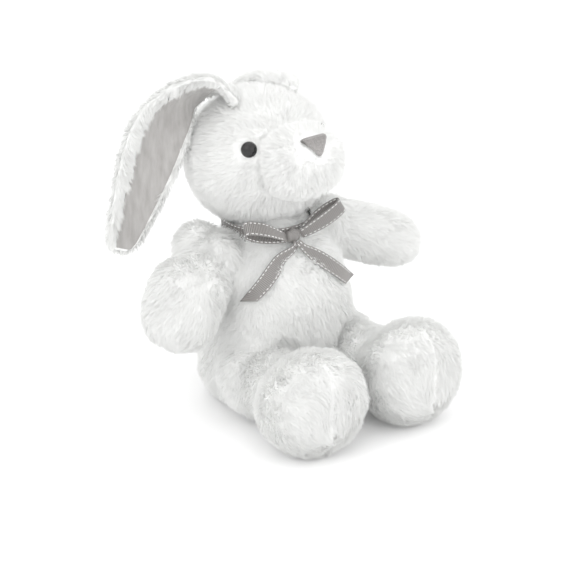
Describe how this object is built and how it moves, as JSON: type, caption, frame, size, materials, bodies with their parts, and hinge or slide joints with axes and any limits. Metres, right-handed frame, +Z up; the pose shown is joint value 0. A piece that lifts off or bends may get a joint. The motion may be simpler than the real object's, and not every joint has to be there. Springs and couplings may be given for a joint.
{
  "type": "stuffed bunny rabbit",
  "caption": "Seated white plush rabbit with floppy lined ears, bead eyes, stitched nose and a grey ribbon bow; head, ears and limbs swing on sewn joints.",
  "frame": {"origin": "middle of the flat seat panel, on the surface that the toy sits on", "axes": "+Z up, the face looks along -Y, the rabbit's left side is +X"},
  "size_m": [0.2152, 0.2019, 0.2265],
  "materials": {
    "plush": "matte",
    "filling": "matte",
    "lining": "satin",
    "ribbon": "satin",
    "nose": "satin",
    "bead": "gloss",
    "washer": "matte",
    "thread": "matte",
    "bag": "matte"
  },
  "bodies": {
    "torso": {"torso_skin": "plush", "torso_stuffing": "filling", "seat_panel": "plush", "pellet_bag": "bag", "back_seam_thread": "thread", "ribbon_band": "ribbon", "ribbon_knot": "ribbon", "ribbon_loop_left": "ribbon", "ribbon_loop_right": "ribbon"},
    "neck": {"neck_stuffing": "filling", "neck_seam_thread": "thread"},
    "head": {"head_skin": "plush", "head_stuffing": "filling", "muzzle_skin": "plush", "nose_pad": "nose", "eye_left": "bead", "eye_right": "bead", "eye_washer_left": "washer", "eye_washer_right": "washer"},
    "tail": {"tail_skin": "plush", "tail_stuffing": "filling"},
    "arm_left": {"arm_left_skin": "plush", "arm_left_stuffing": "filling"},
    "leg_left": {"leg_left_skin": "plush", "leg_left_stuffing": "filling"},
    "ear_left": {"ear_left_outer": "plush", "ear_left_lining": "lining"},
    "ribbon_tail_left": {"ribbon_tail_left": "ribbon"},
    "arm_right": {"arm_right_skin": "plush", "arm_right_stuffing": "filling"},
    "leg_right": {"leg_right_skin": "plush", "leg_right_stuffing": "filling"},
    "ear_right": {"ear_right_outer": "plush", "ear_right_lining": "lining"},
    "ribbon_tail_right": {"ribbon_tail_right": "ribbon"}
  },
  "joints": [
    {"name": "neck_turn", "type": "hinge", "parent": "torso", "child": "neck", "pos_m": [0, 0.008, 0.122], "axis": [0, 0, 1], "range_deg": [-18, 18], "stiffness_Nm_per_rad": 0.25},
    {"name": "head_nod", "type": "hinge", "parent": "neck", "child": "head", "pos_m": [0, 0.008, 0.122], "axis": [1, 0, 0], "range_deg": [-5, 10], "stiffness_Nm_per_rad": 0.45},
    {"name": "tail_wag", "type": "hinge", "parent": "torso", "child": "tail", "pos_m": [0, 0.04725, 0.027], "axis": [0, 0, 1], "range_deg": [-15, 15], "stiffness_Nm_per_rad": 0.004},
    {"name": "arm_left_swing", "type": "hinge", "parent": "torso", "child": "arm_left", "pos_m": [0.04843, 0.00367, 0.105], "axis": [-1, 0, 0], "range_deg": [-25, 50], "stiffness_Nm_per_rad": 0.12},
    {"name": "leg_left_swing", "type": "hinge", "parent": "torso", "child": "leg_left", "pos_m": [0.035, -0.02883, 0.0295], "axis": [-1, 0, 0], "range_deg": [-20, 25], "stiffness_Nm_per_rad": 0.25},
    {"name": "ear_left_lift", "type": "hinge", "parent": "head", "child": "ear_left", "pos_m": [0.01857, 0.01908, 0.20575], "axis": [0.513, -0.8479, -0.1339], "range_deg": [-3, 55], "stiffness_Nm_per_rad": 0.05},
    {"name": "ribbon_tail_left_lift", "type": "hinge", "parent": "torso", "child": "ribbon_tail_left", "pos_m": [-0.0009, -0.02638, 0.1126], "axis": [-1, 0, 0], "range_deg": [0, 50]},
    {"name": "arm_right_swing", "type": "hinge", "parent": "torso", "child": "arm_right", "pos_m": [-0.04843, 0.00367, 0.105], "axis": [-1, 0, 0], "range_deg": [-25, 50], "stiffness_Nm_per_rad": 0.12},
    {"name": "leg_right_swing", "type": "hinge", "parent": "torso", "child": "leg_right", "pos_m": [-0.035, -0.02883, 0.0295], "axis": [-1, 0, 0], "range_deg": [-20, 25], "stiffness_Nm_per_rad": 0.25},
    {"name": "ear_right_lift", "type": "hinge", "parent": "head", "child": "ear_right", "pos_m": [-0.01857, 0.01908, 0.20575], "axis": [0.513, 0.8479, 0.1339], "range_deg": [-3, 55], "stiffness_Nm_per_rad": 0.05},
    {"name": "ribbon_tail_right_lift", "type": "hinge", "parent": "torso", "child": "ribbon_tail_right", "pos_m": [-0.0071, -0.02638, 0.1126], "axis": [-1, 0, 0], "range_deg": [0, 50]}
  ]
}
